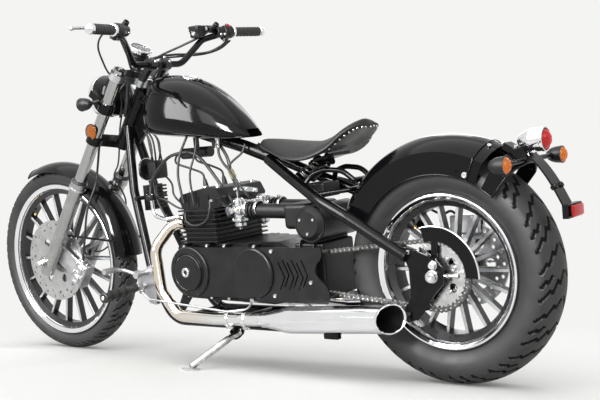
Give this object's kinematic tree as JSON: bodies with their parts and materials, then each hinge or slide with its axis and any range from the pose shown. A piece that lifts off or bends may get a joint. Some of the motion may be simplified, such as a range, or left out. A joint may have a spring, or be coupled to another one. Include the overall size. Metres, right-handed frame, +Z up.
{
  "type": "cruiser motorcycle",
  "caption": "Low cruiser motorcycle with raked fork, teardrop tank, sprung solo saddle, cast spoked wheels, chain drive, twin low exhausts and a side stand that it leans on.",
  "frame": {"origin": "on the floor, below the middle of the parked machine's bounding box", "axes": "+X forward along the machine, +Y to the rider's left, +Z up"},
  "size_m": [2.3658, 0.8608, 1.1736],
  "materials": {
    "gloss_black": "gloss",
    "satin_black": "satin",
    "engine_black": "satin",
    "black_plastic": "matte",
    "wheel_black": "satin",
    "chrome": "polished",
    "alloy": "satin",
    "steel": "brushed",
    "tyre": "matte",
    "rubber": "matte",
    "seat_leather": "satin",
    "amber_lens": "gloss",
    "red_lens": "gloss",
    "clear_lens": "clear"
  },
  "bodies": {
    "frame": {"rear_fender": "gloss_black", "fender_tail": "gloss_black", "main_frame": "satin_black", "rear_axle": "steel", "chain": "steel", "chain_guard": "satin_black", "crankcase": "engine_black", "left_cover": "engine_black", "right_cover": "engine_black", "chain_cover": "engine_black", "cylinder_block": "engine_black", "cylinder_head": "engine_black", "carburettors": "alloy", "airbox": "black_plastic", "battery_box": "black_plastic", "electrics": "black_plastic", "left_muffler": "chrome", "right_muffler": "chrome", "exhaust_headers": "chrome", "fuel_tank": "gloss_black", "filler_cap": "chrome", "seat": "seat_leather", "seat_springs": "steel", "rear_caliper": "satin_black", "tail_bracket": "satin_black", "tail_lamp": "chrome", "plate_arm": "satin_black", "rear_lenses": "red_lens", "rear_indicators": "satin_black", "rear_indicator_lenses": "amber_lens", "foot_brackets": "alloy", "foot_pegs": "rubber", "foot_levers": "alloy"},
    "steering": {"steering_stem": "satin_black", "upper_clamp": "alloy", "handlebar": "satin_black", "grips": "rubber", "clutch_lever": "alloy", "brake_lever": "alloy", "stanchions": "chrome", "sliders": "alloy", "front_axle": "steel", "front_fender": "gloss_black", "front_fender_stays": "satin_black", "headlamp_bracket": "satin_black", "headlamp_bucket": "satin_black", "headlamp_rim": "chrome", "headlamp_lens": "clear_lens", "front_indicators": "satin_black", "front_indicator_lenses": "amber_lens", "gauge": "black_plastic", "front_caliper": "satin_black"},
    "front_wheel": {"front_wheel": "wheel_black", "front_tyre": "tyre", "front_disc": "steel"},
    "rear_wheel": {"rear_wheel": "wheel_black", "rear_tyre": "tyre", "rear_disc": "steel", "rear_sprocket": "steel"},
    "side_stand": {"side_stand": "steel"}
  },
  "joints": [
    {"name": "steering_turn", "type": "hinge", "parent": "frame", "child": "steering", "pos_m": [0.40467, -0.01328, 0.84862], "axis": [-0.5878, 0.1217, 0.7998], "range_deg": [-35, 35]},
    {"name": "front_wheel_spin", "type": "hinge", "parent": "steering", "child": "front_wheel", "pos_m": [0.84187, -0.09099, 0.3378], "axis": [0, 0.9886, -0.1504], "continuous": true},
    {"name": "rear_wheel_spin", "type": "hinge", "parent": "frame", "child": "rear_wheel", "pos_m": [-0.80813, -0.09363, 0.32046], "axis": [0, 0.9886, -0.1504], "continuous": true},
    {"name": "side_stand_fold", "type": "hinge", "parent": "frame", "child": "side_stand", "pos_m": [-0.06313, -0.01582, 0.10719], "axis": [0.0503, 0.5972, 0.8005], "range_deg": [0, 100]}
  ]
}
